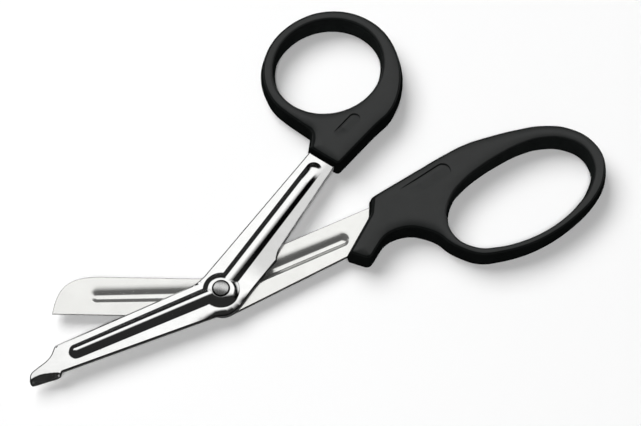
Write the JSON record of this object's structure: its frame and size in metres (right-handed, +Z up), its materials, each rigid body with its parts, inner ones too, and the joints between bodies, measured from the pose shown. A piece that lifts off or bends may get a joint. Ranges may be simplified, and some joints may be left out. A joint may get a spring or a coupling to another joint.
{
  "type": "bandage scissors",
  "caption": "Bandage scissors: angled stamped steel blades with pressed ribs and a blunt folded probe tip, a rivet pivot, and black moulded thumb-ring and finger-loop handles.",
  "frame": {"origin": "centre of the footprint's bounding box, on the table the scissors lie on", "axes": "+X along the cutting blade's edge from its tip towards the finger loop, +Y towards the thumb ring, +Z up from the table"},
  "size_m": [0.1704, 0.127, 0.0084],
  "materials": {
    "blade_steel": "polished flats, satin inner faces",
    "rivet_steel": "polished",
    "handle_plastic": "moulded, low sheen"
  },
  "bodies": {
    "finger_half": {"cutting_blade": "blade_steel", "finger_handle": "handle_plastic", "pivot_rivet": "rivet_steel"},
    "thumb_half": {"probe_blade": "blade_steel", "thumb_handle": "handle_plastic"}
  },
  "joints": [
    {"name": "pivot_hinge", "type": "hinge", "parent": "finger_half", "child": "thumb_half", "pos_m": [-0.03087, -0.03276, 0.0042], "axis": [0, 0, 1], "range_deg": [-13.5, 40]}
  ]
}
